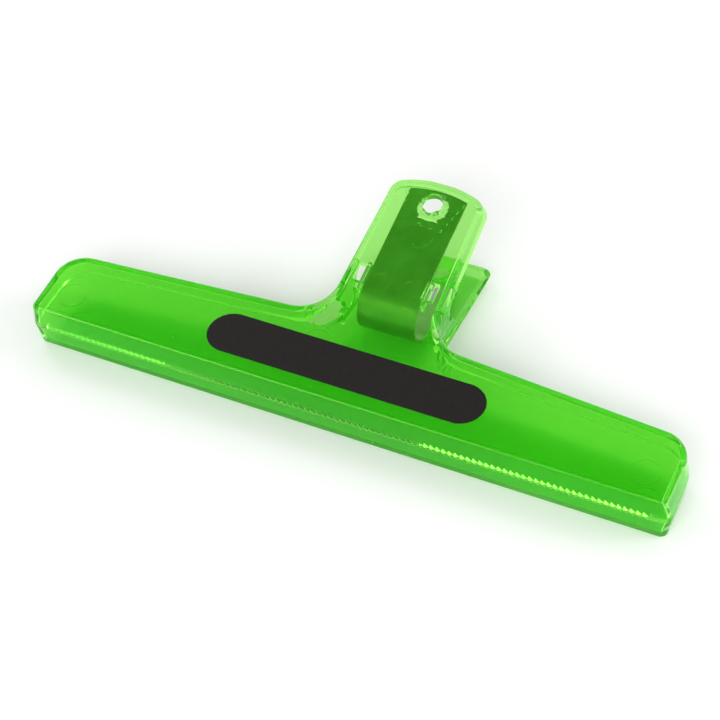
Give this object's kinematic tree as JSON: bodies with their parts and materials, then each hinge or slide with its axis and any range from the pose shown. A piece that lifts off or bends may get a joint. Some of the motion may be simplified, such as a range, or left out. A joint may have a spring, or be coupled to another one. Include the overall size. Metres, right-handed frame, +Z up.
{
  "type": "wide-jaw spring clip",
  "caption": "Wide plastic spring clip: two translucent T-shaped halves with toothed jaws, rocking on ears and closed by a bent flat steel spring.",
  "frame": {"origin": "centre of the footprint, on the table the clip lies on", "axes": "+X along the jaw, +Y from the mouth to the handles, +Z up from the table, which the rear jaw's mouth edge and the rear handle's tip rest on"},
  "size_m": [0.203, 0.0808, 0.0354],
  "materials": {
    "green_plastic": "glossy translucent green",
    "spring_steel": "plain bright spring steel"
  },
  "bodies": {
    "rear": {"rear_half": "green_plastic", "leaf_spring": "spring_steel"},
    "front": {"front_half": "green_plastic"}
  },
  "joints": [
    {"name": "jaw_hinge", "type": "hinge", "parent": "rear", "child": "front", "pos_m": [0, 0.00272, 0.01323], "axis": [-1, 0, 0], "range_deg": [0, 30], "stiffness_Nm_per_rad": 1, "springref_deg": -17.19, "deforming": ["leaf_spring"]}
  ]
}
